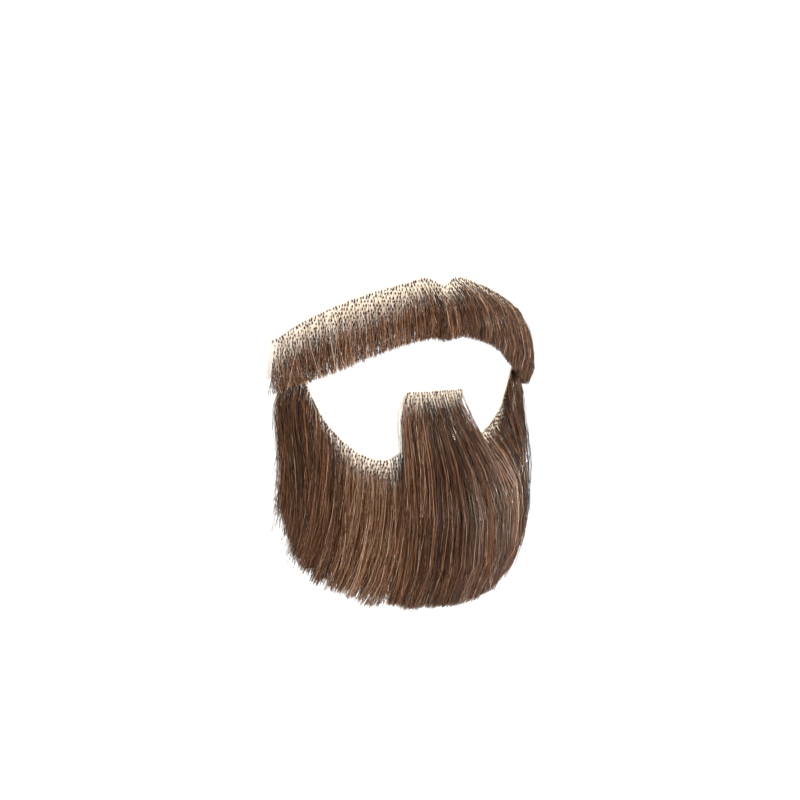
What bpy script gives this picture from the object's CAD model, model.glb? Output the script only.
# Fake beard: a mustache and a goatee of hair knotted on lace, held in the form that a face gives them
import math
from collections import namedtuple

import bpy
import numpy as np
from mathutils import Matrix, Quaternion, Vector


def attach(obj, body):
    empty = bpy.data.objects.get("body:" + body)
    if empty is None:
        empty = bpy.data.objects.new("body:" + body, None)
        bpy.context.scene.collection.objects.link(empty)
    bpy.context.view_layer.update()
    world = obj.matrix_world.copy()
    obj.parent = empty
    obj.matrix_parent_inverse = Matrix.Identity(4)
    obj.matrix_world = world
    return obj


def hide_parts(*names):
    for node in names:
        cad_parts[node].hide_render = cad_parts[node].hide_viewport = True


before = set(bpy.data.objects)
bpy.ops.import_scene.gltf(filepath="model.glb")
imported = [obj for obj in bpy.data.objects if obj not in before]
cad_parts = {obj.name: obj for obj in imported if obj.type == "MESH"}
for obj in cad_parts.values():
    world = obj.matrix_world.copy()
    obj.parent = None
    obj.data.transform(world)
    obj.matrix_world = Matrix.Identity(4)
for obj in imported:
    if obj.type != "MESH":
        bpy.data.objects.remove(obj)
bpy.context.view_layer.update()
mm = 0.001
draw = np.random.default_rng(11)  # one seeded source, drawn in a fixed order
print("frame loaded")


# Camera, at the angle of the photograph; frameHeight is what the picture's side covers at the beard
cameraSetup = {
    "azimuth": -30,
    "elevation": 8,
    "roll": 0.6,
    "distance": 1.0,
    "frameHeight": 0.2295,
    "aim": (-0.0098, 0.0060, 0.0225),
    "sensor": 36,
}


def makeCamera():
    azimuth, elevation, roll = (
        math.radians(cameraSetup[name]) for name in ("azimuth", "elevation", "roll")
    )
    back = Vector((
        math.sin(azimuth) * math.cos(elevation),
        -math.cos(azimuth) * math.cos(elevation),
        math.sin(elevation),
    ))
    data = bpy.data.cameras.new("camera")
    data.sensor_width = cameraSetup["sensor"]
    data.lens = cameraSetup["sensor"] * cameraSetup["distance"] / cameraSetup["frameHeight"]
    camera = bpy.data.objects.new("camera", data)
    camera.location = Vector(cameraSetup["aim"]) + back * cameraSetup["distance"]
    turned = (-back).to_track_quat("-Z", "Y") @ Quaternion((0, 0, 1), roll)
    camera.rotation_euler = turned.to_euler()
    bpy.context.scene.collection.objects.link(camera)
    bpy.context.scene.camera = camera


makeCamera()
print("camera placed")


# Form of the face, in rows of shares of these sizes, from the chin's underside to the nose
faceForm = {
    "height": 59 * mm,
    "halfWidth": 61 * mm,
    "depth": 72 * mm,
    "muzzle": 5 * mm,
    "muzzleHalfWidth": 20 * mm,
    "lift": 22 * mm,
    "steepestSine": 0.98,
    "probe": 0.5 * mm,
}
faceForm["setback"] = faceForm["depth"]
faceColumns = ["height", "setback", "halfWidth", "depth", "muzzle", "lift"]
underChinRows = [
    (-0.263, 0.360, 0.84, 0.74, 0.0, 0.90),
    (-0.255, 0.220, 0.86, 0.78, 0.2, 0.80),
    (-0.220, 0.110, 0.88, 0.82, 0.4, 0.66),
    (-0.140, 0.035, 0.90, 0.86, 0.6, 0.48),
]
faceRows = [
    (0.000, 0.000, 0.93, 0.89, 0.6, 0.32),
    (0.150, 0.014, 0.94, 0.92, 0.6, 0.14),
    (0.310, 0.049, 0.96, 0.94, 0.6, 0.03),
    (0.460, 0.021, 0.98, 0.97, 0.8, 0.00),
    (0.630, -0.014, 1.00, 1.00, 1.0, 0.00),
    (0.810, -0.035, 1.03, 1.03, 1.0, 0.00),
    (1.000, 0.000, 1.06, 1.06, 0.8, 0.00),
    (1.180, 0.042, 1.08, 1.08, 0.6, 0.00),
]
hangRows = [  # where the outer hair hangs below the chin
    (-1.200, 0.300, 0.88, 0.82, 0.6, 0.32),
    (-0.800, 0.130, 0.90, 0.84, 0.6, 0.32),
    (-0.600, 0.062, 0.91, 0.86, 0.6, 0.32),
    (-0.400, 0.020, 0.92, 0.88, 0.6, 0.32),
    (-0.200, 0.000, 0.93, 0.89, 0.6, 0.32),
]


def between(start, end, share):
    return start + (end - start) * share


def smooth(share):
    held = np.clip(share, 0, 1)
    return held * held * (3 - 2 * held)


def unit(vectors):
    return vectors / np.maximum(np.linalg.norm(vectors, axis=-1, keepdims=True), 1e-12)


def table(columns, rows):
    return dict(zip(columns.split(), zip(*rows)))


def easedRows(rows, column, at):
    return eased(rows["across"], rows[column], at)


def eased(knots, values, at):
    # smooth curve through a table, straight beyond its ends
    knots, values = np.asarray(knots, float), np.asarray(values, float)
    last = len(knots) - 1
    low = np.maximum(np.arange(last + 1) - 1, 0)
    high = np.minimum(np.arange(last + 1) + 1, last)
    slopes = (values[high] - values[low]) / (knots[high] - knots[low])
    held = np.clip(at, knots[0], knots[last])
    piece = np.clip(np.searchsorted(knots, held) - 1, 0, last - 1)
    width = knots[piece + 1] - knots[piece]
    t = (held - knots[piece]) / width
    start, end = slopes[piece] * width, slopes[piece + 1] * width
    rise = values[piece + 1] - values[piece]
    curve = values[piece] + t * (start + t * (3 * rise - 2 * start - end + t * (start + end - 2 * rise)))
    return curve + (at - held) * np.where(at < held, slopes[0], slopes[last])


class Guide:
    # surface addressed by the distance across and the level, the distance up the midline from the chin
    def __init__(self, rows):
        self.columns = {
            name: np.array(column) * faceForm[name]
            for name, column in zip(faceColumns, zip(*rows))
        }
        steps = np.hypot(np.diff(self.columns["height"]), np.diff(self.columns["setback"]))
        levels = np.concatenate([[0], np.cumsum(steps)])
        self.levels = levels - levels[rows.index(faceRows[0])]

    def point(self, across, level):
        row = {name: eased(self.levels, column, level) for name, column in self.columns.items()}
        sine = np.clip(across / row["halfWidth"], -faceForm["steepestSine"], faceForm["steepestSine"])
        back = 1 - np.sqrt(1 - sine * sine)
        flank = 1 - np.exp(-((across / faceForm["muzzleHalfWidth"]) ** 2))
        setback = row["setback"] + row["depth"] * back + row["muzzle"] * flank
        return np.stack([across + 0 * back, setback, row["height"] + row["lift"] * back], -1)

    def outward(self, across, level):
        step = faceForm["probe"]
        sideways = self.point(across + step, level) - self.point(across - step, level)
        upwards = self.point(across, level + step) - self.point(across, level - step)
        return unit(np.cross(sideways, upwards))

    def off(self, across, level, height):
        across, level, height = np.broadcast_arrays(across, level, height)
        return self.point(across, level) + self.outward(across, level) * height[..., None]


skin = Guide(underChinRows + faceRows)
drape = Guide(hangRows + faceRows)


# Cut of the mustache
mustacheCut = {
    "halfSpan": 41.5 * mm,
    "level": 58.5 * mm,
    "fall": 18.5 * mm,
    "length": 15.5 * mm,
    "laceShare": 0.72,  # share of the length which lies on lace
}
mustacheRows = table("across fall length", [
    (-1.00, 1.00, 1.02), (-0.90, 0.75, 1.15), (-0.72, 0.47, 1.22),
    (-0.50, 0.24, 1.15), (-0.30, 0.10, 1.05), (-0.12, 0.00, 1.02),
    (-0.05, 0.08, 0.96), (0.00, 0.14, 0.90), (0.04, 0.08, 0.95),
    (0.10, 0.00, 1.02), (0.30, 0.13, 1.00), (0.50, 0.31, 1.00),
    (0.72, 0.55, 1.11), (0.90, 0.78, 1.18), (1.00, 1.04, 1.06),
])


def mustacheTop(across):
    share = np.clip(across / mustacheCut["halfSpan"], -1, 1)
    return mustacheCut["level"] - mustacheCut["fall"] * easedRows(mustacheRows, "fall", share)


def mustacheTips(across):
    share = np.clip(across / mustacheCut["halfSpan"], -1, 1)
    return mustacheTop(across) - mustacheCut["length"] * easedRows(mustacheRows, "length", share)


# Cut of the goatee
beardCut = {
    "halfSpan": 39.8 * mm,
    "armTop": 3.4 * mm,  # widths of an arm
    "armBase": 9.5 * mm,
    "patchLevel": 25.2 * mm,
    "patchTop": 8.5 * mm,  # half widths of the patch
    "patchBase": 10.4 * mm,
    "notchLevel": 17.5 * mm,
    "hang": 37.5 * mm,
    "cutShift": 2 * mm,
    "corner": 2.6 * mm,
    "squareness": 2.8,
    "laceUnder": 18 * mm,
    "hairUnderMustache": 4.5 * mm,  # how far the arms' hair reaches up behind the mustache's tips
    "laceGap": 0.3 * mm,  # between the arms' lace and the mustache's
    "softness": 2.5 * mm,
}
leftNotch = [(0.00, 0.42), (0.28, 0.27), (0.55, 0.35), (0.80, 0.61), (1.00, 1.00)]  # patch to arm
rightNotch = [(0.00, 0.42), (0.22, 0.54), (0.55, 0.69), (0.80, 0.85), (1.00, 1.00)]


def armHairTop(across):
    return mustacheTips(across) + beardCut["hairUnderMustache"]


def notchAt(across):
    foot = beardCut["halfSpan"] - beardCut["armBase"]
    base = beardCut["patchBase"]
    share = np.clip((np.abs(across) - base) / (foot - base), 0, 1)
    left, right = (eased(*zip(*rows), share) for rows in (leftNotch, rightNotch))
    return beardCut["notchLevel"] * np.where(across < 0, left, right)


def roundCut(across, hang):
    held = np.clip(across, -beardCut["halfSpan"], beardCut["halfSpan"])
    share = np.abs(held - beardCut["cutShift"]) / (beardCut["halfSpan"] + beardCut["corner"])
    power = beardCut["squareness"]
    return -hang * (1 - share**power) ** (1 / power)


def patchHalfAt(across, level):
    low = notchAt(np.copysign(beardCut["patchBase"], across))
    up = np.clip((level - low) / (beardCut["patchLevel"] - low), 0, 1)
    return between(beardCut["patchBase"], beardCut["patchTop"], up)


def armInnerAt(across, level):
    low = beardCut["notchLevel"]
    up = np.clip((level - low) / (armHairTop(across) - low), 0, 1)
    return beardCut["halfSpan"] - between(beardCut["armBase"], beardCut["armTop"], up)


def inBeard(across, level, margin=0.0, armTop=armHairTop):
    side = np.abs(across)
    band = (level <= notchAt(across) + margin) & (level >= roundCut(across, beardCut["laceUnder"]))
    patch = (side <= patchHalfAt(across, level) + margin) & (level <= beardCut["patchLevel"] + margin)
    arm = (side >= armInnerAt(across, level) - margin) & (level <= armTop(across))
    above = level > notchAt(across)
    return (side <= beardCut["halfSpan"] + margin) & (band | (above & (patch | arm)))


def mustacheFoot(across):
    return between(mustacheTop(across), mustacheTips(across), mustacheCut["laceShare"])


def inMustache(across, level, margin=0.0):
    held = np.abs(across) <= mustacheCut["halfSpan"] + margin
    return held & (level <= mustacheTop(across) + margin) & (level >= mustacheFoot(across))


def armLaceTop(across):
    return mustacheFoot(across) - beardCut["laceGap"]


def hairlineAt(across):
    # where the hair starts above a place, blended where patch and arms stand up from the band
    side, soft = np.abs(across), beardCut["softness"]
    patch = smooth((beardCut["patchBase"] + soft - side) / (2 * soft))
    foot = beardCut["halfSpan"] - beardCut["armBase"]
    arm = smooth((side - foot + soft) / (2 * soft))
    level = between(notchAt(across), beardCut["patchLevel"], patch)
    return between(level, armHairTop(across), arm)


print("form worked out")


class Wire:
    # a socket that takes part in sums
    def __init__(self, board, socket):
        self.board, self.socket = board, socket

    def sum(self, operation, first, second):
        return self.board.node("Math", {"operation": operation}, first, second)

    def __add__(self, other):
        return self.sum("ADD", self, other)

    def __radd__(self, other):
        return self.sum("ADD", other, self)

    def __sub__(self, other):
        return self.sum("SUBTRACT", self, other)

    def __rsub__(self, other):
        return self.sum("SUBTRACT", other, self)

    def __mul__(self, other):
        return self.sum("MULTIPLY", self, other)

    def __rmul__(self, other):
        return self.sum("MULTIPLY", other, self)


class Board:
    # the nodes of one material
    def __init__(self, name, fixed):
        self.material = bpy.data.materials.new(name)
        self.material.use_nodes = True
        self.tree = self.material.node_tree
        self.shader = self.tree.nodes["Principled BSDF"]
        for socket, value in fixed.items():
            self.shader.inputs[socket].default_value = value

    def node(self, kind, settings=None, *values, output=0, **named):
        made = self.tree.nodes.new("ShaderNode" + kind)
        for key, value in (settings or {}).items():
            if key == "stops":
                self.setStops(made.color_ramp, value)
            else:
                setattr(made, key, value)
        for socket, value in [*enumerate(values), *named.items()]:
            self.feed(made.inputs[socket], value)
        return Wire(self, made.outputs[output])

    def setStops(self, ramp, stops):
        while len(ramp.elements) < len(stops):
            ramp.elements.new(1)
        for element, (place, colour) in zip(ramp.elements, stops):
            element.position, element.color = place, (*colour, 1)

    def feed(self, socket, value):
        if isinstance(value, Wire):
            self.tree.links.new(value.socket, socket)
        elif value is not None:
            socket.default_value = value

    def mix(self, share, first, second, blend="MIX"):
        # the colour inputs of a Mix node are its seventh and eighth
        settings = {"data_type": "RGBA", "blend_type": blend}
        unused = [None] * 5
        return self.node("Mix", settings, share, *unused, first, second, output=2)

    def split(self, kind, value, count):
        outputs = self.node(kind, None, value).socket.node.outputs
        return [Wire(self, outputs[index]) for index in range(count)]

    def finish(self, **inputs):
        for socket, value in inputs.items():
            self.feed(self.shader.inputs[socket.replace("_", " ")], value)
        return self.material


# Hair: its colours run from the darkest strand to the palest
hairFinish = {
    "shades": [
        (0.00, (0.007, 0.0028, 0.0013)),
        (0.28, (0.014, 0.0058, 0.0032)),
        (0.50, (0.050, 0.0200, 0.0090)),
        (0.70, (0.145, 0.0580, 0.0240)),
        (0.86, (0.210, 0.1120, 0.0630)),
        (1.00, (0.400, 0.2750, 0.1900)),
    ],
    "unitLength": 50 * mm,  # lengths along a strand are shares of this
    "rootTone": 0.36,
    "rootLength": 0.06,
    "tipTone": 1.32,
    "tipStart": 0.5,
    "patches": 13.0,  # changes of tone in a unit length
    "patchDepth": 0.46,
    "patchByShade": 3.0,  # how far apart strands of unlike shade and gloss lie in the patches
    "patchByGloss": 61.0,
    "sheen": (1.0, 0.82, 0.66, 1),
    "smoothest": 0.20,
    "roughest": 0.45,
    "glint": 1.0,
    "glintShare": 0.24,  # strands with a glassy coat
}


def hairMaterial():
    fixed = {
        "Specular IOR Level": 0.22,
        "Specular Tint": hairFinish["sheen"],
        "Coat Roughness": 0.15,
        "Coat IOR": 1.8,
    }
    board = Board("hair", fixed)
    strand = board.node("Attribute", {"attribute_name": "strand"})
    shade, along, gloss = board.split("SeparateColor", strand, 3)
    ends = board.node("Attribute", {"attribute_name": "strand"}, output=3)
    place = board.node(
        "CombineXYZ", None, shade * hairFinish["patchByShade"],
        gloss * hairFinish["patchByGloss"], along * hairFinish["patches"],
    )
    patch = board.node("TexNoise", None, Vector=place, Scale=1.0, Detail=2.0)
    shifted = shade + (patch - 0.5) * hairFinish["patchDepth"]
    base = board.node("ValToRGB", {"stops": hairFinish["shades"]}, shifted)
    light = board.node(
        "MapRange", None, along, 0.0, hairFinish["rootLength"], hairFinish["rootTone"], 1.0
    )
    light = light * board.node(
        "MapRange", None, ends, hairFinish["tipStart"], 1.0, 1.0, hairFinish["tipTone"]
    )
    tone = board.node("CombineColor", None, light, light, light)
    colour = board.mix(1.0, base, tone, "MULTIPLY")
    roughness = board.node(
        "MapRange", None, gloss, 0.0, 1.0, hairFinish["smoothest"], hairFinish["roughest"]
    )
    start = 1 - hairFinish["glintShare"]
    coat = board.node("MapRange", None, gloss, start, 1.0, 0.0, hairFinish["glint"])
    return board.finish(Base_Color=colour, Roughness=roughness, Coat_Weight=coat)


laceFinish = {
    "thread": (0.66, 0.53, 0.36, 1),
    "threadShade": (0.50, 0.36, 0.235, 1),
    "gauze": (0.52, 0.385, 0.235, 1),
    "holeAlpha": 0.58,
    "threadAlpha": 0.85,
    "threadStart": 0.6,  # height of the weave's waves where a thread begins
    "marginShare": 0.55,  # of both alphas, in the bare margin
    "marginCover": 0.3,
    "gauzePitch": 0.28 * mm,
}


def threadMaterial():
    board = Board("lace_thread", {"Roughness": 0.8, "Sheen Weight": 0.15})
    place = board.node("TexCoord", output=3)
    fuzz = board.node("TexNoise", None, Vector=place, Scale=1400.0, Detail=3.0)
    colour = board.mix(fuzz, laceFinish["threadShade"], laceFinish["thread"])
    normal = board.node("Bump", None, Strength=0.3, Distance=0.05 * mm, Height=fuzz)
    return board.finish(Base_Color=colour, Normal=normal)


def gauzeMaterial():
    # the fine ground between the threads, mostly open
    board = Board("lace_gauze", {"Base Color": laceFinish["gauze"], "Roughness": 0.9})
    spots = board.node("UVMap", {"uv_map": "cloth"})
    turns = 2 * math.pi / laceFinish["gauzePitch"]
    waves = [
        board.node("Math", {"operation": "SINE"}, axis * turns)
        for axis in board.split("SeparateXYZ", spots, 2)
    ]
    weave = board.node("Math", {"operation": "MAXIMUM"}, *waves)
    hole, thread = laceFinish["holeAlpha"], laceFinish["threadAlpha"]
    alpha = board.node("MapRange", None, weave, laceFinish["threadStart"], 1.0, hole, thread)
    cover = board.node("Attribute", {"attribute_name": "cover"}, output=2)
    least, share = laceFinish["marginCover"], laceFinish["marginShare"]
    alpha = alpha * board.node("MapRange", None, cover, least, 1.0, share, 1.0)
    return board.finish(Alpha=alpha)


hairLook, threadLook, gauzeLook = hairMaterial(), threadMaterial(), gauzeMaterial()
print("materials made")


def makeObject(name, points, faces, material):
    mesh = bpy.data.meshes.new(name)
    mesh.vertices.add(len(points))
    mesh.vertices.foreach_set("co", np.ascontiguousarray(points, np.float32).ravel())
    size = faces.shape[1]
    mesh.loops.add(faces.size)
    mesh.loops.foreach_set("vertex_index", np.ascontiguousarray(faces, np.int32).ravel())
    mesh.polygons.add(len(faces))
    mesh.polygons.foreach_set("loop_start", np.arange(0, faces.size, size, dtype=np.int32))
    mesh.update(calc_edges=True)
    mesh.shade_smooth()
    mesh.materials.append(material)
    piece = bpy.data.objects.new(name, mesh)
    bpy.context.scene.collection.objects.link(piece)
    return piece


def addMesh(name, points, faces, material, node):
    piece = makeObject(name, points, faces, material)
    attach(piece, "root")
    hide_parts(node)
    return piece


def addCopies(name, vertices, pattern, material, node):
    # many like bodies in one mesh; pattern holds the triangles of one
    faces = np.arange(len(vertices))[:, None, None] * vertices.shape[1] + np.array(pattern)
    return addMesh(name, vertices.reshape(-1, 3), faces.reshape(-1, 3), material, node)


def paint(piece, colours):
    # shade, length from the root, gloss and share of the length, at each point
    layer = piece.data.attributes.new("strand", "FLOAT_COLOR", "POINT")
    layer.data.foreach_set("color", colours.astype(np.float32).ravel())


def addStrands(name, points, radius, outward, shades, gloss, node):
    # three-sided strands, closed at the root and drawn to a point at the tip
    count, rings = points.shape[:2]
    tangent = unit(np.gradient(points, axis=1))
    side = unit(np.cross(tangent, outward))
    up = np.cross(tangent, side)
    turn = draw.uniform(0, 2 * math.pi, (count, 1, 1)) + np.arange(3) * (2 * math.pi / 3)
    cosine, sine = np.cos(turn)[..., None], np.sin(turn)[..., None]
    spread = radius[:, :-1, None, None] * (cosine * side[:, :-1, None] + sine * up[:, :-1, None])
    corners = (points[:, :-1, None] + spread).reshape(count, -1, 3)
    vertices = np.concatenate([corners, points[:, -1:]], 1)
    quads = []
    for ring in range(rings - 2):
        for k in range(3):
            a, b = ring * 3 + k, ring * 3 + (k + 1) % 3
            quads += [(a, b, b + 3), (a, b + 3, a + 3)]
    last, tip = (rings - 2) * 3, (rings - 1) * 3
    ends = [(last + k, last + (k + 1) % 3, tip) for k in range(3)] + [(0, 2, 1)]
    piece = addCopies(name, vertices, quads + ends, hairLook, node)
    rows = np.concatenate([np.repeat(np.arange(rings - 1), 3), [rings - 1]])
    steps = np.linalg.norm(np.diff(points, axis=1), axis=2)
    along = np.concatenate([np.zeros((count, 1)), np.cumsum(steps, 1)], 1)
    columns = np.broadcast_arrays(
        shades[:, None], along[:, rows] / hairFinish["unitLength"], gloss[:, None], rows / (rings - 1)
    )
    paint(piece, np.stack(columns, -1))


def addSections(node, names, stops, label, *columns):
    # one piece between each two stops of the labels, which say where across a strand lies
    for name, low, high in zip(names, stops, stops[1:]):
        mine = (label >= low) & (label < high)
        addStrands(f"{node}_{name}", *(column[mine] for column in columns), node)


# Lace: a ground of fine gauze, a net of threads on it, and a bound edge
laceBuild = {
    "gauzeHeight": 0.5 * mm,
    "netHeight": 0.3 * mm,
    "netPitch": 1.15 * mm,
    "netLeg": 0.45,  # share of a cell's height that its upright thread takes
    "threadRadius": 0.055 * mm,
    "margin": 0.9 * mm,
    "coverReach": 1 * mm,
    "coverSpots": 12,
    "beardLevel": 6 * mm,  # where the net's width is measured
    "mustacheLevel": 50 * mm,
    "spare": 3 * mm,
    "beardNetLevels": (-19 * mm, 42 * mm),
    "mustacheNetLevels": (28 * mm, 62 * mm),
}


class ArcScale:
    # turns a distance along the skin round the face into the distance across, and back
    def __init__(self, level, reach):
        self.across = np.linspace(-reach, reach, 241)
        line = skin.point(self.across, np.full_like(self.across, level))
        steps = np.linalg.norm(np.diff(line, axis=0), axis=1)
        self.along = np.concatenate([[0], np.cumsum(steps)])
        self.along -= self.along[-1] / 2

    def acrossAt(self, along):
        return np.interp(along, self.along, self.across)

    def reach(self):
        return self.along[-1]


beardScale = ArcScale(laceBuild["beardLevel"], beardCut["halfSpan"] + laceBuild["spare"])
mustacheScale = ArcScale(laceBuild["mustacheLevel"], mustacheCut["halfSpan"] + laceBuild["spare"])


def netSegments(scale, levels):
    # zigzag threads and the short uprights that join them into cells
    pitch, leg = laceBuild["netPitch"], laceBuild["netLeg"]
    lowest, highest = levels
    rows = np.arange(int((highest - lowest) / pitch) + 1)
    halves = np.arange(int(-scale.reach() * 2 / pitch), int(scale.reach() * 2 / pitch) + 1)
    row, half = np.meshgrid(rows, halves, indexing="ij")
    rise = (1 - leg) / 2 * pitch

    def spot(atRow, atHalf):
        up = np.where((atRow + atHalf) % 2 == 0, rise, -rise)
        return atHalf * pitch / 2, lowest + atRow * pitch + up

    zigzag = np.stack([np.stack(spot(row, half), -1), np.stack(spot(row, half + 1), -1)], -2)
    peaks = (row + half) % 2 == 0
    foot = np.stack(spot(row, half), -1)[peaks]
    head = np.stack(spot(row + 1, half), -1)[peaks]
    uprights = np.stack([foot, head], -2)
    return np.concatenate([zigzag.reshape(-1, 2, 2), uprights])


def addNet(name, scale, levels, inside, node):
    ends = netSegments(scale, levels)
    across, level = scale.acrossAt(ends[..., 0]), ends[..., 1]
    kept = inside(across, level).all(1)
    across, level = across[kept], level[kept]
    points = skin.off(across, level, laceBuild["netHeight"])
    outward = skin.outward(across.mean(1), level.mean(1))[:, None]
    print(name, len(points), "threads")
    return addThreads(name, points, laceBuild["threadRadius"], outward, node)


def addThreads(name, points, radius, outward, node):
    # short straight threads with three sides and both ends closed
    tangent = unit(points[:, 1:] - points[:, :1])
    side = unit(np.cross(tangent, outward))
    up = np.cross(tangent, side)
    turn = (np.arange(3) * (2 * math.pi / 3) + math.pi / 2)[None, None, :, None]
    spread = radius * (np.cos(turn) * side[:, :, None] + np.sin(turn) * up[:, :, None])
    vertices = (points[:, :, None] + spread).reshape(-1, 6, 3)
    pattern = [
        (0, 1, 4), (0, 4, 3), (1, 2, 5), (1, 5, 4), (2, 0, 3), (2, 3, 5), (0, 2, 1), (3, 4, 5),
    ]
    return addCopies(name, vertices, pattern, threadLook, node)


def gridFaces(columns, rows):
    column, row = np.meshgrid(np.arange(columns - 1), np.arange(rows - 1), indexing="ij")
    first = column * rows + row
    return np.stack([first, first + rows, first + rows + 1, first + 1], -1).reshape(-1, 4)


def coverAt(inside, across, level):
    # share of a small disc round a place that lies under hair
    spots = np.arange(laceBuild["coverSpots"])
    turns = spots * 2 * math.pi / len(spots)
    reach = np.where(spots % 2, 1.0, 0.5) * laceBuild["coverReach"]
    return sum(
        inside(across + size * math.cos(turn), level + size * math.sin(turn)) * 1.0
        for turn, size in zip(turns, reach)
    ) / len(turns)


def addSheetPiece(name, patches, inside, node):
    # one mesh from several grids of (across, level), with the flat place of each point as its UV
    points, faces, flat, start = [], [], [], 0
    for across, level in patches:
        columns, rows = across.shape
        place = skin.off(across, level, laceBuild["gauzeHeight"])
        points.append(place.reshape(-1, 3))
        flat.append(np.stack([across, level], -1).reshape(-1, 2))
        faces.append(gridFaces(columns, rows) + start)
        start += columns * rows
    points, faces, flat = np.concatenate(points), np.concatenate(faces), np.concatenate(flat)
    keys, index = np.unique(np.round(points, 6), axis=0, return_inverse=True)
    index = index.reshape(-1)
    first = np.full(len(keys), len(points))
    np.minimum.at(first, index, np.arange(len(points)))
    faces = index[faces]
    piece = addMesh(name, points[first], faces, gauzeLook, node)
    layer = piece.data.uv_layers.new(name="cloth")
    layer.data.foreach_set("uv", flat[first][faces].astype(np.float32).ravel())
    cover = piece.data.attributes.new("cover", "FLOAT", "POINT")
    cover.data.foreach_set("value", coverAt(inside, *flat[first].T).astype(np.float32))
    return piece


def bandPatches():
    margin, span = laceBuild["margin"], beardCut["halfSpan"] + laceBuild["margin"]
    base = beardCut["patchBase"] + margin
    foot = beardCut["halfSpan"] - beardCut["armBase"] - margin
    stops = [-span, -foot, -base, base, foot, span]
    counts = [9, 13, 16, 13, 9]
    up = np.linspace(0, 1, 13)
    patches = []
    for (start, end), count, kind in zip(zip(stops, stops[1:]), counts, "anpna"):
        across = np.linspace(start, end, count)[:, None]
        shared = notchAt(across) + margin
        patches.append((across + 0 * up, between(roundCut(across, beardCut["laceUnder"]), shared, up)))
        if kind == "p":
            narrowing = between(1, beardCut["patchTop"] / beardCut["patchBase"], up)
            patches.append((across * narrowing, between(shared, beardCut["patchLevel"] + margin, up)))
        if kind == "a":
            narrowing = between(1, beardCut["armTop"] / beardCut["armBase"], up)
            inwards = (beardCut["halfSpan"] - np.abs(across)) * narrowing
            place = np.copysign(beardCut["halfSpan"] - inwards, across)
            patches.append((place, between(shared, armLaceTop(place), up)))
    return patches


def mustachePatches():
    margin, span = laceBuild["margin"], mustacheCut["halfSpan"] + laceBuild["margin"]
    across = np.linspace(-span, span, 64)[:, None]
    up = np.linspace(0, 1, 12)
    return [(across + 0 * up, between(mustacheFoot(across), mustacheTop(across) + margin, up))]


mustacheGauze = addSheetPiece("mustache_gauze", mustachePatches(), inMustache, "mustache_lace")
beardGauze = addSheetPiece("beard_gauze", bandPatches(), inBeard, "beard_lace")
print("gauze made")

mustacheNet = addNet(
    "mustache_net", mustacheScale, laceBuild["mustacheNetLevels"],
    lambda across, level: inMustache(across, level, laceBuild["margin"]), "mustache_lace",
)
beardNet = addNet(
    "beard_net", beardScale, laceBuild["beardNetLevels"],
    lambda across, level: inBeard(across, level, laceBuild["margin"], armLaceTop), "beard_lace",
)

# Threads that bind the cut edges of the lace, and a few loose ones beside the patch
edgeSetup = {
    "height": 0.55 * mm,
    "radius": 0.085 * mm,
    "gap": 0.35 * mm,
    "step": 0.7 * mm,
    "waver": 0.05 * mm,
    "looseThreads": 3,
    "looseOut": 0.9 * mm,
}


def evenly(line, step):
    # a line of (across, level) points, walked in even steps
    lengths = np.concatenate([[0], np.cumsum(np.linalg.norm(np.diff(line, axis=0), axis=1))])
    at = np.linspace(0, lengths[-1], max(3, int(lengths[-1] / step)))
    return np.stack([np.interp(at, lengths, line[:, column]) for column in range(2)], 1)


def notchSideEdge(side, margin):
    # from the arm's top down its inner edge, along the notch and up the patch to its middle
    up = np.linspace(1, 0, 20)
    foot = beardCut["halfSpan"] - beardCut["armBase"] - margin
    base = beardCut["patchBase"] + margin
    width = between(beardCut["armBase"], beardCut["armTop"], up) + margin
    armAcross = beardCut["halfSpan"] - width
    top = armLaceTop(side * (beardCut["halfSpan"] - beardCut["armTop"]))
    arm = np.stack([armAcross, between(beardCut["notchLevel"] + margin, top, up)], 1)
    notch = np.linspace(foot, base, 24)
    floor = np.stack([notch, notchAt(side * notch) + margin], 1)
    rise = up[::-1]
    half = between(beardCut["patchBase"], beardCut["patchTop"], rise) + margin
    low = notchAt(side * beardCut["patchBase"]) + margin
    patch = np.stack([half, between(low, beardCut["patchLevel"] + margin, rise)], 1)
    middle = np.array([[0.0, beardCut["patchLevel"] + margin]])
    return np.concatenate([arm, floor, patch, middle]) * [side, 1]


def mustacheEdge(margin):
    span = mustacheCut["halfSpan"] + margin
    across = np.linspace(-span, span, 90)
    top = np.stack([across, mustacheTop(across) + margin], 1)
    ends = np.stack([across, mustacheFoot(across)], 1)[[0, -1]]
    return np.concatenate([ends[:1], top, ends[1:]])


def addEdges(name, lines, node):
    points, outwards = [], []
    for line in lines:
        walked = evenly(line, edgeSetup["step"])
        walked = walked + draw.normal(0, edgeSetup["waver"], walked.shape)
        place = skin.off(walked[:, 0], walked[:, 1], edgeSetup["height"])
        points.append(np.stack([place[:-1], place[1:]], 1))
        outwards.append(skin.outward(walked[:-1, 0], walked[:-1, 1])[:, None])
    points, outwards = np.concatenate(points), np.concatenate(outwards)
    return addThreads(name, points, edgeSetup["radius"], outwards, node)


def looseThreads():
    lines = []
    for index in range(edgeSetup["looseThreads"]):
        level = np.linspace(notchAt(-beardCut["patchBase"]), beardCut["patchLevel"], 12)
        out = edgeSetup["looseOut"] * (index + 1) / edgeSetup["looseThreads"]
        bow = np.sin(np.linspace(0, math.pi, 12)) * draw.uniform(0.3, 1) * edgeSetup["looseOut"]
        lines.append(np.stack([-patchHalfAt(-1, level) - 0.5 * mm - out - bow, level], 1))
    return lines


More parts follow.
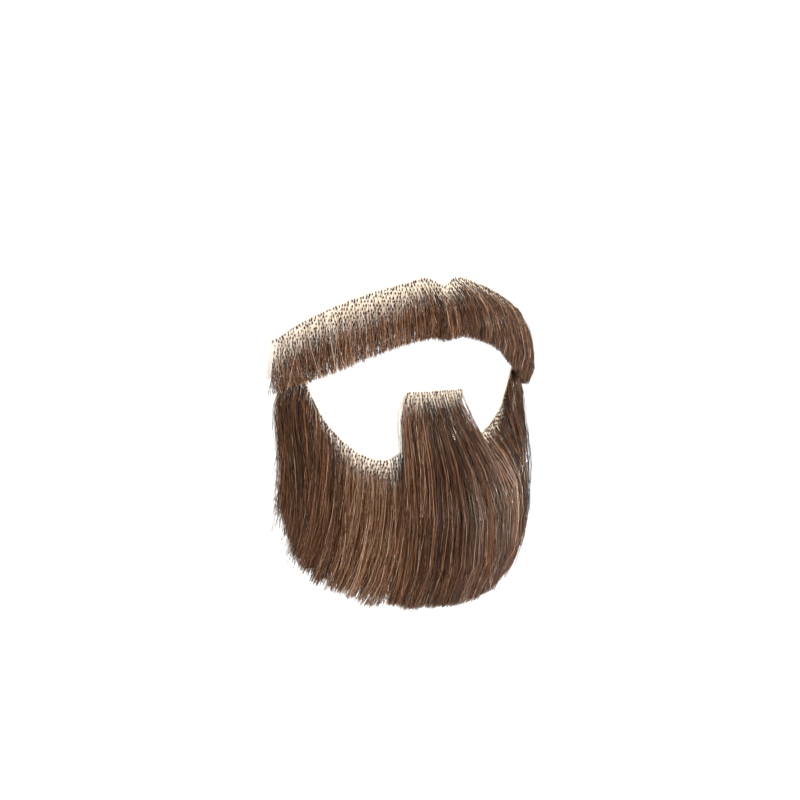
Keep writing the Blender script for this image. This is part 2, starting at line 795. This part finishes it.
outer, inner = laceBuild["margin"], laceBuild["margin"] - edgeSetup["gap"]
addEdges("mustache_edge", [mustacheEdge(outer), mustacheEdge(inner)], "mustache_lace")
addEdges(
    "beard_edge",
    [notchSideEdge(side, margin) for side in (-1, 1) for margin in (outer, inner)] + looseThreads(),
    "beard_lace",
)
print("lace made")


# Knots in rows on the net: each holds a wisp of hair that runs together
knotSetup = {
    "rowPitch": 1.12 * mm,
    "columnPitch": 0.98 * mm,
    "scatter": 0.15 * mm,
    "height": 0.72 * mm,
    "halfWidth": 0.25 * mm,
    "halfHeight": 0.5 * mm,
    "edgePitch": 0.8 * mm,  # along the row that follows the cut
    "edgeMargin": 0.3 * mm,
    "leastDepth": 0.2 * mm,
    "look": (0.38, 0.1, 0.6, 0),  # shade, length from the root, gloss, share of the length
    "beardLevels": (-18 * mm, 36 * mm),
    "mustacheLevels": (28 * mm, 60 * mm),
}
Knots = namedtuple("Knots", "across level depth")


def tieKnots(scale, levels, inside, hairline, edges):
    rows = np.arange(*levels, knotSetup["rowPitch"])
    halfCount = int(scale.reach() / knotSetup["columnPitch"])
    columns = np.arange(-halfCount, halfCount + 1) * knotSetup["columnPitch"]
    level, along = np.meshgrid(rows, columns, indexing="ij")
    along = along + (np.arange(len(rows)) % 2)[:, None] * knotSetup["columnPitch"] / 2
    along = (along + draw.normal(0, knotSetup["scatter"], along.shape)).ravel()
    level = (level + draw.normal(0, knotSetup["scatter"], level.shape)).ravel()
    across = scale.acrossAt(along)
    kept = inside(across, level)
    row = np.concatenate([evenly(line, knotSetup["edgePitch"]) for line in edges])
    row = row + draw.normal(0, knotSetup["scatter"] / 2, row.shape)
    across = np.concatenate([across[kept], row[:, 0]])
    level = np.concatenate([level[kept], row[:, 1]])
    return Knots(across, level, np.maximum(hairline(across) - level, knotSetup["leastDepth"]))


def pick(knots, mask):
    return Knots(*(column[mask] for column in knots))


def addKnots(name, knots, node):
    centre = skin.off(knots.across, knots.level, knotSetup["height"])
    outward = skin.outward(knots.across, knots.level)
    side = unit(np.cross(np.array([0.0, 0.0, 1.0]), outward))
    up = np.cross(outward, side)
    wide = knotSetup["halfWidth"] * draw.uniform(0.7, 1.3, (len(centre), 1))
    tall = knotSetup["halfHeight"] * draw.uniform(0.7, 1.4, (len(centre), 1))
    ends = [side * wide, up * tall, -side * wide, -up * tall, outward * wide, -outward * wide]
    vertices = np.stack([centre + end for end in ends], 1)
    pattern = [
        (0, 1, 4), (1, 2, 4), (2, 3, 4), (3, 0, 4), (1, 0, 5), (2, 1, 5), (3, 2, 5), (0, 3, 5),
    ]
    piece = addCopies(name, vertices, pattern, hairLook, node)
    paint(piece, np.tile(knotSetup["look"], (len(piece.data.vertices), 1)))


bluntFrom = 0.985


def ownersOf(knots, setup):
    # which knot and which wisp of it each strand belongs to, fewer a knot along the hairline
    left = smooth(-knots.across / setup["leftBlend"])
    edge = setup["edgeDepth"] * (1 + setup["leftEdge"] * left)
    inwards = np.clip(knots.depth / edge, 0, 1) ** setup["edgeCurve"]
    mean = between(setup["perEdgeKnot"], setup["perKnot"], inwards)
    mean = mean * (1 - setup["leftSparser"] * left)
    knot = np.repeat(np.arange(len(mean)), np.floor(mean + draw.random(len(mean))).astype(int))
    _, wisp = np.unique(knot * 4 + draw.integers(0, 4, len(knot)), return_inverse=True)
    return knot, wisp


def sharedBy(owner, wisp, strand, shape=()):
    # a random value that a knot's strands have in common, and each one's own share on top
    together = draw.normal(0, 1, (owner.max() + 1, *shape))[owner]
    return wisp * together + strand * draw.normal(0, 1, (len(owner), *shape))


def wander(owner, share, size):
    # slow bends along a strand, nearly alike within a wisp, and none at the root
    def bend(count, low, high):
        phase = draw.uniform(0, 2 * math.pi, (count, 1))
        turns = draw.uniform(low, high, (count, 1)) * 2 * math.pi
        return draw.normal(0, 1, (count, 1)) * (np.sin(phase + turns * share) - np.sin(phase))

    return size * (bend(owner.max() + 1, 0.3, 1.1)[owner] + 0.35 * bend(len(owner), 0.8, 2.2))


def lockPlaces(low, high, pitch):
    places = np.arange(low, high, pitch)
    return places + draw.uniform(-0.35, 0.35, len(places)) * pitch


def ringShares(rings, power=1.0):
    # places of a strand's rings, with the last but one close to the tip, since the tips are cut
    return np.append(bluntFrom * np.linspace(0, 1, rings - 1) ** power, 1)


def strandRadius(count, setup):
    share = ringShares(setup["rings"])
    profile = np.interp(share, [0, 0.25, 0.6, 1], [0.55, 1.0, 0.95, setup["tipShare"]])
    return profile * setup["radius"] * draw.uniform(0.7, 1.3, (count, 1))


def strandTint(owner, mean, wisp=0.15, strand=0.15):
    gloss = draw.random(owner.max() + 1)[owner]
    return np.clip(mean + sharedBy(owner, wisp, strand), 0, 1), gloss


def trimmed(setup, owner, tip, level, wildness=1.0):
    # some wisps are cut shorter, and a few wild hairs are longer than the rest
    short = (draw.random(owner.max() + 1) < setup["shortWisps"])[owner]
    tip = between(tip, level, short * draw.uniform(0, 1 - setup["shortest"], len(owner)))
    wild = draw.random(len(owner)) < setup["wildShare"] * wildness
    wild = wild * draw.uniform(0.2, 1, len(owner))
    return np.minimum(tip - wild * setup["wildLonger"], level - setup["leastLength"]), wild


def pileAt(setup, level, depth, at, tip):
    # which share of the pile lies under a strand, and how thick the pile is there
    fallen = level[:, None] - at
    rank = fallen / (fallen + depth[:, None])
    full = setup["pile"] * (1 - np.exp(-np.maximum(fallen + depth[:, None], 0) / setup["rise"]))
    nearTip = (at - tip[:, None]) / setup["tipZone"] + setup["tipPile"]
    return rank, full * np.clip(nearTip, setup["leastPile"], 1)


def raised(setup, owner, share, buried):
    lift = sharedBy(owner, setup["lift"], 0.5 * setup["lift"])[:, None] * smooth(share * 2.5)
    lift = lift + wander(owner, share, setup["dive"])
    return setup["rootHeight"] + buried + np.maximum(lift, -setup["deepest"] * buried)


# Hair of the goatee; pairs are for a wisp and for a strand in it
beardHair = {
    "rings": 7,
    "radius": 0.055 * mm,
    "tipShare": 0.8,
    "perKnot": 9.0,
    "perEdgeKnot": 2.5,
    "edgeDepth": 5 * mm,
    "leftBlend": 20 * mm,
    "leftEdge": 0.0,
    "leftSparser": 0.0,
    "edgeCurve": 1.0,
    "wispWidth": (0.05 * mm, 0.09 * mm),  # at the root and at the tip
    "rootHeight": 0.75 * mm,
    "pile": 7.2 * mm,
    "rise": 11 * mm,
    "sideThinning": 0.72,
    "armThinning": 0.15,  # at the arms' tops
    "tipZone": 9 * mm,
    "tipPile": 0.40,
    "lockPitch": 2.4 * mm,
    "lockSway": 0.7 * mm,
    "lockLength": 1.1 * mm,
    "tipLength": (0.45 * mm, 0.35 * mm),
    "wave": 0.3 * mm,
    "lift": 0.38 * mm,
    "dive": 0.36 * mm,
    "splay": 0.024,  # share of the hang that a wisp drifts aside
    "shortWisps": 0.25,
    "shortest": 0.45,
    "wildShare": 0.022,
    "wildEdge": 1.0,
    "wildOut": 3 * mm,
    "wildLift": 1.6 * mm,
    "fanStart": 15.5 * mm,
    "fanLength": 28 * mm,
    "shade": 0.46,
    "shadeWave": 0.06,
    "dull": 0.5,  # share of the gloss left on the viewer's left half
    "rootScatter": (0.12 * mm, 0.04 * mm),
    "lockAim": (0.4, 0.12),
    "lockStrength": (0.3, 0.15),
    "lockPile": 0.10,
    "tipDrop": 0.8,  # share of the hang at which the tips' places are read
    "wildLonger": 1.5 * mm,
    "leastLength": 3 * mm,
    "leastPile": 0.15,
    "deepest": 0.6,  # share of the pile that a strand may sink
    "thinningFrom": 8 * mm,
    "thinningOver": 20 * mm,
    "underLevel": -2 * mm,  # knots below it hold the hair under the chin
}
# Hair under the chin, where it differs
underHair = {
    **beardHair,
    "rings": 5,
    "radius": 0.066 * mm,
    "perKnot": 3.2,
    "shade": 0.38,
    "tipSway": (0.9 * mm, 0.2 * mm),
    "tipLength": (1.2 * mm, 0.6 * mm),
    "shorter": 2.5 * mm,
    "frontDepth": 1.8 * mm,
    "backDepth": -3.6 * mm,
    "depthScatter": (0.5 * mm, 0.2 * mm),
    "out": 2 * mm,
    "sag": 0.42,
    "bendScatter": (0.4 * mm, 0.2 * mm),
}
# Shares of the half span, the hang, the hang and the pull, and what is added to the shade
flowRows = table("across fan flick clump shade", [
    (-1.00, 0.00, -0.04, 0.45, 0.00), (-0.75, 0.00, -0.11, 0.80, 0.00),
    (-0.45, 0.00, -0.09, 0.72, 0.21), (-0.15, 0.03, -0.03, 0.45, 0.04),
    (0.00, 0.09, 0.00, 0.38, -0.05), (0.12, 0.18, 0.00, 0.36, -0.05),
    (0.22, 0.28, -0.01, 0.38, -0.03), (0.36, 0.33, -0.02, 0.38, 0.04),
    (0.55, 0.25, -0.01, 0.30, 0.00), (0.75, 0.10, 0.00, 0.32, -0.12),
    (1.00, -0.01, 0.01, 0.34, -0.20),
])


def flowShift(label, level):
    share = label / beardCut["halfSpan"]
    early = smooth((beardHair["fanStart"] - level) / beardHair["fanLength"])
    top = notchAt(label)
    late = np.clip((top - level) / (top + beardCut["hang"]), 0, 1.2) ** 2.5
    fan, flick = easedRows(flowRows, "fan", share), easedRows(flowRows, "flick", share)
    return beardCut["hang"] * (fan * early + flick * late)


def patchNarrowing(label, level):
    # the patch widens downwards, and its hair with it
    low, base = notchAt(label), beardCut["patchBase"]
    up = np.clip((level - low) / (beardCut["patchLevel"] - low), 0, 1)
    held = smooth((base + 2 * mm - np.abs(label)) / (2 * mm))
    return between(1, beardCut["patchTop"] / base, up * held)


def beardPaths(knots, knot, owner):
    # strands from the front of the lace: combed, bunched, layered and trimmed
    setup, edge, hang = beardHair, beardCut["halfSpan"], beardCut["hang"]
    level, depth = knots.level[knot], knots.depth[knot]
    root = knots.across[knot] + sharedBy(owner, *setup["rootScatter"])
    label = (root - flowShift(root, level)) / patchNarrowing(root, level)
    locks = lockPlaces(-edge, edge, setup["lockPitch"])
    aim = label + sharedBy(owner, *setup["lockAim"]) * setup["lockPitch"]
    lock = np.abs(aim[:, None] - locks).argmin(1)
    strength = 1 + sharedBy(owner, *setup["lockStrength"])
    strength = easedRows(flowRows, "clump", label / edge) * strength
    tipAcross = label + flowShift(label, -setup["tipDrop"] * hang)
    cut = roundCut(tipAcross, hang)
    tip = cut + strength * (setup["lockLength"] * draw.normal(0, 1, len(locks)))[lock]
    tip = tip + sharedBy(owner, *setup["tipLength"])
    outer = 1 + setup["wildEdge"] * np.clip(np.abs(label) / edge, 0, 1) ** 6
    tip, wild = trimmed(setup, owner, tip, level, outer)
    share = ringShares(setup["rings"], 1.1)
    at = between(level[:, None], tip[:, None], share)
    line = (level + depth)[:, None]  # where the hair above starts
    fallen = np.clip((line - at) / (line - tip[:, None]), 0, 1)
    pull = ((locks[lock] - label) * strength)[:, None] * smooth(fallen) ** 1.5
    sway = (setup["lockSway"] * draw.normal(0, 1, len(locks)))[lock][:, None] * fallen**2
    spread = sharedBy(owner, 0, 1)[:, None] * between(*setup["wispWidth"], share)
    side = np.where(np.abs(label) > 0.55 * edge, np.sign(label), draw.choice([-1, 1], len(owner)))
    stray = (wild * side * setup["wildOut"])[:, None] * share**1.5
    spot = label[:, None]
    place = spot * patchNarrowing(spot, at) + flowShift(spot, at)
    drift = sharedBy(owner, setup["splay"], 0.4 * setup["splay"])[:, None] * hang * share
    place = place + pull + sway + spread + stray + drift + wander(owner, share, setup["wave"])
    rank, full = pileAt(setup, level, depth, at, cut)
    arm = smooth((at - setup["thinningFrom"]) / setup["thinningOver"])
    thinning = between(setup["sideThinning"], setup["armThinning"], arm)
    full = full * (1 - thinning * np.clip(place / edge, -1, 1) ** 2)
    full = full * (1 + (setup["lockPile"] * draw.normal(0, 1, len(locks)))[lock][:, None] * fallen)
    height = raised(setup, owner, share, full * rank)
    height = height + (wild * draw.random(len(owner)) * setup["wildLift"])[:, None] * share**1.3
    return drape.off(place, at, height), drape.outward(place, at), label


def undersidePaths(knots, knot, owner):
    # strands from under the chin, which drop from the lace and hang behind the rest
    setup = underHair
    across, level = knots.across[knot], knots.level[knot]
    under = np.clip(-level / beardCut["laceUnder"], 0, 1)
    tipAcross = across + flowShift(across, -setup["tipDrop"] * beardCut["hang"])
    tipAcross = tipAcross + sharedBy(owner, *setup["tipSway"])
    tip = roundCut(tipAcross, beardCut["hang"]) + sharedBy(owner, *setup["tipLength"])
    tip = tip + np.maximum(sharedBy(owner, setup["shorter"], 0), 0)
    start = skin.off(across, level, setup["rootHeight"])
    depth = between(setup["frontDepth"], setup["backDepth"], under)
    end = drape.off(tipAcross, tip, depth + sharedBy(owner, *setup["depthScatter"]))
    gap = np.linalg.norm(end - start, axis=1, keepdims=True)
    outward = skin.outward(across, level)
    bend = start + outward * setup["out"] + np.array([0, 0, -setup["sag"]]) * gap
    bend = bend + sharedBy(owner, *setup["bendScatter"], (3,))
    share = ringShares(setup["rings"])[None, :, None]
    curve = (1 - share) ** 2 * start[:, None] + 2 * share * (1 - share) * bend[:, None]
    curve = curve + share**2 * end[:, None]
    return curve, np.repeat(outward[:, None], setup["rings"], 1)


edges = [notchSideEdge(side, knotSetup["edgeMargin"]) for side in (-1, 1)]
knots = tieKnots(beardScale, knotSetup["beardLevels"], inBeard, hairlineAt, edges)
addKnots("beard_knots", knots, "beard_hair")
front = pick(knots, knots.level > beardHair["underLevel"])
knot, owner = ownersOf(front, beardHair)
paths, outward, label = beardPaths(front, knot, owner)
broad = beardHair["shadeWave"] * np.sin(label / (3.1 * mm)) * np.sin(label / (7.3 * mm) + 1)
mean = beardHair["shade"] + easedRows(flowRows, "shade", label / beardCut["halfSpan"]) + broad
shades, gloss = strandTint(owner, mean)
gloss = gloss * between(beardHair["dull"], 1, smooth((label + 6 * mm) / (9 * mm)))
radii = strandRadius(len(owner), beardHair)
print("goatee", len(knots.level), "knots", len(owner), "front strands")
names = ["left_arm", "left_front", "patch", "right_front", "right_arm"]
stops = [-math.inf, -26 * mm, -9 * mm, 9 * mm, 26 * mm, math.inf]
addSections("beard_hair", names, stops, label, paths, radii, outward, shades, gloss)
under = pick(knots, knots.level <= beardHair["underLevel"])
knot, owner = ownersOf(under, underHair)
paths, outward = undersidePaths(under, knot, owner)
print("goatee", len(owner), "strands underneath")
radii = strandRadius(len(owner), underHair)
tint = strandTint(owner, underHair["shade"])
addStrands("beard_hair_underside", paths, radii, outward, *tint, "beard_hair")
print("goatee made")


# Hair of the mustache, where it differs from the goatee's
mustacheHair = {
    **beardHair,
    "rings": 6,
    "radius": 0.06 * mm,
    "perKnot": 12.0,
    "perEdgeKnot": 1.5,
    "edgeDepth": 6 * mm,
    "leftEdge": 0.45,
    "edgeCurve": 1.5,
    "wispWidth": (0.05 * mm, 0.1 * mm),
    "bend": 0.45 * mm,
    "pile": 4.2 * mm,
    "rise": 4.5 * mm,
    "endThinning": 0.1,
    "tipLength": (0.28 * mm, 0.28 * mm),
    "tipZone": 4 * mm,
    "tipPile": 0.5,
    "lockPitch": 1.9 * mm,
    "lockPull": 0.30,
    "splay": 0.06,
    "wave": 0.16 * mm,
    "lift": 0.22 * mm,
    "dive": 0.18 * mm,
    "shortest": 0.5,
    "wildShare": 0.025,
    "leftShade": 0.13,
    "leftSparser": 0.55,  # share of the strands that the viewer's left half has less
    "lockAim": (0.5 * mm, 0.2 * mm),
    "overhang": 2.5 * mm,
    "wildLonger": 1 * mm,
    "wildOut": 1.6 * mm,
    "wildLift": 1.2 * mm,
    "leastLength": 2.5 * mm,
    "leastPile": 0.2,
}
combRows = [  # share of the half span, and sideways run as a share of the drop
    (-1.00, 0.16), (-0.60, 0.12), (-0.15, 0.09), (0.00, 0.16), (0.12, 0.36),
    (0.30, 0.60), (0.55, 0.58), (0.80, 0.34), (1.00, 0.10),
]


def mustachePaths(knots, knot, owner):
    setup, span = mustacheHair, mustacheCut["halfSpan"]
    level, depth = knots.level[knot], knots.depth[knot]
    root = knots.across[knot] + sharedBy(owner, *setup["rootScatter"])
    run = eased(*zip(*combRows), root / span) + sharedBy(owner, setup["splay"], setup["splay"])
    tipAcross = root + run * (level - mustacheTips(root))
    locks = lockPlaces(-span, span + 3 * mm, setup["lockPitch"])
    aim = tipAcross + sharedBy(owner, *setup["lockAim"])
    lock = np.abs(aim[:, None] - locks).argmin(1)
    tip = mustacheTips(tipAcross) + sharedBy(owner, *setup["tipLength"])
    tip, wild = trimmed(setup, owner, tip, level)
    share = ringShares(setup["rings"])
    at = between(level[:, None], tip[:, None], share)
    pull = ((locks[lock] - tipAcross) * setup["lockPull"])[:, None] * share**2
    spread = sharedBy(owner, 0, 1)[:, None] * between(*setup["wispWidth"], share)
    place = root[:, None] + (tipAcross - root)[:, None] * share + pull + spread
    place = place + wander(owner, share, setup["wave"])
    outwards = np.where(np.abs(root) > 0.8 * span, np.sign(root), draw.choice([-1, 1], len(owner)))
    place = place + (wild * outwards * setup["wildOut"])[:, None] * share**1.4
    place = np.clip(place, -span - setup["overhang"], span + setup["overhang"])
    rank, full = pileAt(setup, level, depth, at, tip)
    full = full * (1 - setup["endThinning"] * np.clip(np.abs(place) / span, 0, 1) ** 6)
    height = raised(setup, owner, share, full * rank) + setup["bend"] * smooth(share * 4)
    height = height + (wild * setup["wildLift"])[:, None] * share
    return skin.off(place, at, height), skin.outward(place, at), root


edge = mustacheEdge(knotSetup["edgeMargin"])[1:-1]
knots = tieKnots(mustacheScale, knotSetup["mustacheLevels"], inMustache, mustacheTop, [edge])
addKnots("mustache_knots", knots, "mustache_hair")
knot, owner = ownersOf(knots, mustacheHair)
paths, outward, label = mustachePaths(knots, knot, owner)
mean = mustacheHair["shade"] + mustacheHair["leftShade"] * smooth(-label / mustacheHair["leftBlend"])
shades, gloss = strandTint(owner, mean)
radii = strandRadius(len(owner), mustacheHair)
print("mustache", len(knots.level), "knots", len(owner), "strands")
gloss = gloss * mustacheHair["dull"]
stops = [-math.inf, 0, math.inf]
addSections("mustache_hair", ["left", "right"], stops, label, paths, radii, outward, shades, gloss)
print("mustache made")


# Studio: a pale bowl of a floor, and soft lights
studio = {
    "floorLevel": -0.16,
    "floorReach": 2.2,
    "wallRise": 1.4,
    "paper": (0.93, 0.93, 0.93, 1),
    "sky": 0.36,
    "lights": {
        "key": {"place": (0.32, -1.18, 0.90), "size": 0.30, "power": 48},
        "fill": {"place": (-1.3, -0.9, 0.35), "size": 0.9, "power": 9},
        "top": {"place": (0.1, 0.3, 1.3), "size": 0.8, "power": 12},
        "glint": {"place": (0.78, -0.45, -0.085), "size": 0.05, "power": 7},
    },
}


def makeStudio():
    sides, rings = 96, 24
    sweep = np.linspace(0, math.pi / 2, rings - 4)
    radius = np.concatenate([[0.001, 0.4, 0.8, 1.2], between(1.2, studio["floorReach"], np.sin(sweep))])
    height = np.concatenate([[0, 0, 0, 0], studio["wallRise"] * (1 - np.cos(sweep))])
    turn = np.linspace(0, 2 * math.pi, sides, endpoint=False)
    points = np.stack([
        radius[:, None] * np.cos(turn),
        radius[:, None] * np.sin(turn),
        height[:, None] + studio["floorLevel"] + 0 * turn,
    ], -1).reshape(-1, 3)
    ring, side = np.meshgrid(np.arange(rings - 1), np.arange(sides), indexing="ij")
    nextSide = (side + 1) % sides
    faces = np.stack([
        ring * sides + side, ring * sides + nextSide,
        (ring + 1) * sides + nextSide, (ring + 1) * sides + side,
    ], -1).reshape(-1, 4)[:, ::-1]
    board = Board("studio_paper", {"Base Color": studio["paper"], "Roughness": 0.95})
    makeObject("studio_floor", points, faces, board.material)


def makeLights():
    for name, setup in studio["lights"].items():
        data = bpy.data.lights.new(name, "AREA")
        data.shape, data.size, data.energy = "DISK", setup["size"], setup["power"]
        light = bpy.data.objects.new(name, data)
        light.location = setup["place"]
        toBeard = Vector((0, 0.01, 0.01)) - light.location
        light.rotation_euler = toBeard.to_track_quat("-Z", "Y").to_euler()
        bpy.context.scene.collection.objects.link(light)
    world = bpy.data.worlds.new("studio")
    world.use_nodes = True
    world.node_tree.nodes["Background"].inputs["Color"].default_value = (1, 1, 1, 1)
    world.node_tree.nodes["Background"].inputs["Strength"].default_value = studio["sky"]
    bpy.context.scene.world = world


makeStudio()
makeLights()
bpy.context.scene.view_settings.view_transform = "Standard"
print("studio made")
